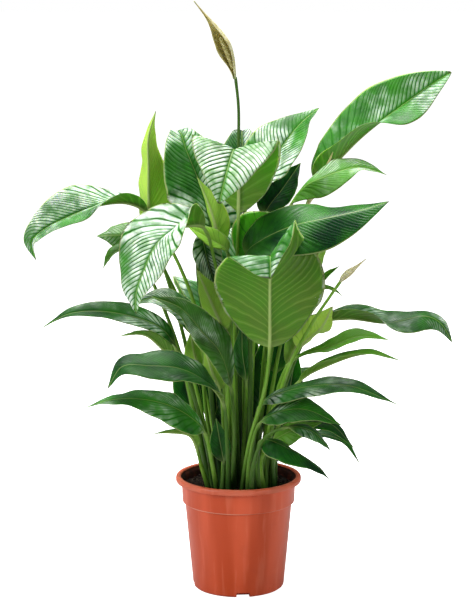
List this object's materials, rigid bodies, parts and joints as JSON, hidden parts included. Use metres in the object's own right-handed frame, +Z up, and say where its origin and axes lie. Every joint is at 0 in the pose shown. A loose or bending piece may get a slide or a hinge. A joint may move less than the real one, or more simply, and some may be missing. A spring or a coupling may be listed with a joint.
{
  "type": "potted peace lily",
  "caption": "Potted peace lily: broad glossy dark green leaves arching out on long stalks, slim rolled cream spathes, standing in a terracotta-coloured plastic nursery pot.",
  "frame": {"origin": "centre of the flat underside of the pot, on the ground", "axes": "+Z up along the pot's axis, -Y the front that the plant faces, +X to the viewer's right"},
  "size_m": [0.5662, 0.4552, 0.7904],
  "materials": {
    "pot": "satin",
    "soil": "matte",
    "leaf": "satin",
    "flower_stalk": "satin",
    "spathe": "satin",
    "spadix": "matte"
  },
  "bodies": {
    "root": {"nursery_pot": "pot", "potting_soil": "soil", "tall_flower_stalk": "flower_stalk", "tall_flower_spathe": "spathe", "tall_flower_spadix": "spadix", "small_flower_stalk": "flower_stalk", "small_flower_spathe": "spathe", "furled_bud_stalk": "flower_stalk", "furled_bud": "spathe", "leaf_top_right": "leaf", "leaf_upper_right": "leaf", "leaf_upper_back": "leaf", "leaf_crown_folded": "leaf", "leaf_front_broad": "leaf", "leaf_right_trough": "leaf", "leaf_front_left": "leaf", "leaf_far_left": "leaf", "leaf_left_upright": "leaf", "leaf_upper_left": "leaf", "leaf_centre_slender": "leaf", "leaf_centre_bright": "leaf", "leaf_centre_hanging": "leaf", "leaf_centre_young": "leaf", "leaf_left_dark": "leaf", "leaf_left_silver": "leaf", "leaf_left_long": "leaf", "leaf_left_slender": "leaf", "leaf_lower_left": "leaf", "leaf_bottom_left": "leaf", "leaf_bottom_left_small": "leaf", "leaf_base_small": "leaf", "leaf_left_behind": "leaf", "leaf_left_behind_small": "leaf", "leaf_right_twisted": "leaf", "leaf_upper_right_shaded": "leaf", "leaf_right_behind": "leaf", "leaf_right_young": "leaf", "leaf_right_curled_tip": "leaf", "leaf_far_right": "leaf", "leaf_right_pale": "leaf", "leaf_right_narrow_upper": "leaf", "leaf_right_narrow_lower": "leaf", "leaf_lower_right_long": "leaf", "leaf_lower_right_broad": "leaf", "leaf_lower_right_silver": "leaf", "leaf_lower_right_olive": "leaf", "leaf_lower_right_outer": "leaf", "leaf_lower_right_slender": "leaf", "leaf_bottom_right": "leaf", "leaf_right_cupped": "leaf", "leaf_inner_centre": "leaf", "leaf_inner_right": "leaf", "leaf_inner_left": "leaf", "leaf_inner_front": "leaf", "leaf_back_high": "leaf", "leaf_back_right": "leaf", "leaf_back_left": "leaf", "leaf_back_low": "leaf", "leaf_back_low_right": "leaf", "leaf_back_low_left": "leaf"}
  },
  "joints": []
}
